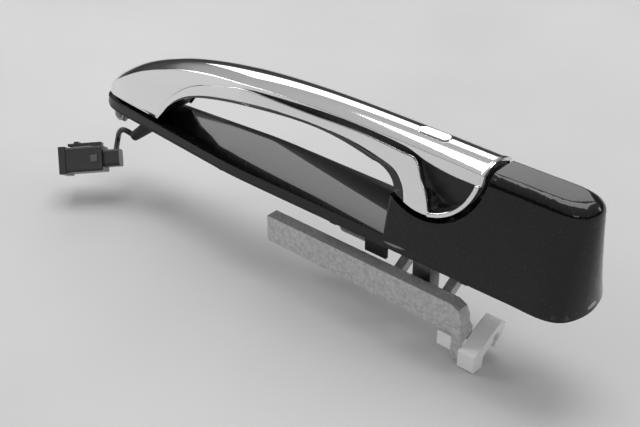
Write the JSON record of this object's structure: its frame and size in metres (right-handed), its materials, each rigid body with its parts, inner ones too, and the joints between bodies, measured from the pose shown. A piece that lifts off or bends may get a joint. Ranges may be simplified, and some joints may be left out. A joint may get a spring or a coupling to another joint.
{
  "type": "car door pull handle",
  "caption": "Chromed pull grip pivoted at its front foot over a painted black base, with a pull hook, bell crank, rod clip and wired lock button.",
  "frame": {"origin": "centre of the face that seats on the door skin, at the middle of the handle's length", "axes": "+X from the pivoted front foot to the rear block, +Z outboard away from the door, +Y completes a right-handed set"},
  "size_m": [0.2483, 0.0526, 0.0809],
  "materials": {
    "black_paint": "gloss, fine metallic flake under clear lacquer",
    "gasket_rubber": "matt",
    "plated_steel": "zinc plated",
    "spring_steel": "oiled",
    "black_nylon": "fine grain",
    "cable_jacket": "satin",
    "plug_plastic": "fine grain",
    "contact_brass": "tin plated",
    "seal_rubber": "matt",
    "lock_plastic": "matt",
    "chrome_plate": "bright plating on plastic",
    "black_liner": "satin",
    "resin_black": "matt",
    "cast_alloy": "as cast, tumbled",
    "white_nylon": "natural nylon"
  },
  "bodies": {
    "base": {"base_housing": "black_paint", "base_gasket": "gasket_rubber", "mounting_studs": "plated_steel", "foot_bumpers": "gasket_rubber", "saddle_bumper": "gasket_rubber", "lever_carrier": "black_nylon", "carrier_screws": "plated_steel", "lever_pin": "plated_steel", "lever_pin_clips": "spring_steel", "lever_spring": "spring_steel", "pivot_bracket": "plated_steel", "bracket_screws": "plated_steel", "pivot_pin": "plated_steel", "pivot_clips": "spring_steel", "cable_boot": "gasket_rubber", "cable": "cable_jacket", "plug_housing": "plug_plastic", "plug_terminals": "contact_brass", "plug_latch": "plug_plastic", "plug_seal": "seal_rubber", "plug_lock": "lock_plastic"},
    "grip": {"grip_core": "black_nylon", "grip_cover": "chrome_plate", "grip_side_bands": "chrome_plate", "grip_liner": "black_liner", "liner_screws": "plated_steel", "pull_hook": "plated_steel", "hook_pin": "plated_steel", "antenna_module": "resin_black", "lock_switch": "resin_black", "button_dome": "seal_rubber"},
    "button": {"lock_button": "chrome_plate"},
    "lever": {"bell_crank": "cast_alloy", "lever_bushes": "black_nylon"},
    "clip": {"rod_clip": "white_nylon"}
  },
  "joints": [
    {"name": "grip_pull", "type": "hinge", "parent": "base", "child": "grip", "pos_m": [-0.11, 0, -0.0029], "axis": [0, -1, 0], "range_deg": [0, 4.5]},
    {"name": "lever_turn", "type": "hinge", "parent": "base", "child": "lever", "pos_m": [0, 0.008, -0.013], "axis": [-1, 0, 0], "range_deg": [0, 35], "stiffness_Nm_per_rad": 0.12, "springref_deg": -28.65, "deforming": ["lever_spring"]},
    {"name": "lock_press", "type": "slide", "parent": "grip", "child": "button", "axis": [0, 0, -1], "range_m": [0, 0.0008], "stiffness_N_per_m": 1200, "deforming": ["button_dome"]},
    {"name": "clip_swivel", "type": "hinge", "parent": "lever", "child": "clip", "pos_m": [0.0758, -0.0075, -0.0315], "axis": [1, 0, 0], "range_deg": [-20, 40]}
  ],
  "couplings": [
    {"joint": "lever_turn", "follows": "grip_pull", "ratio": 7.77}
  ]
}
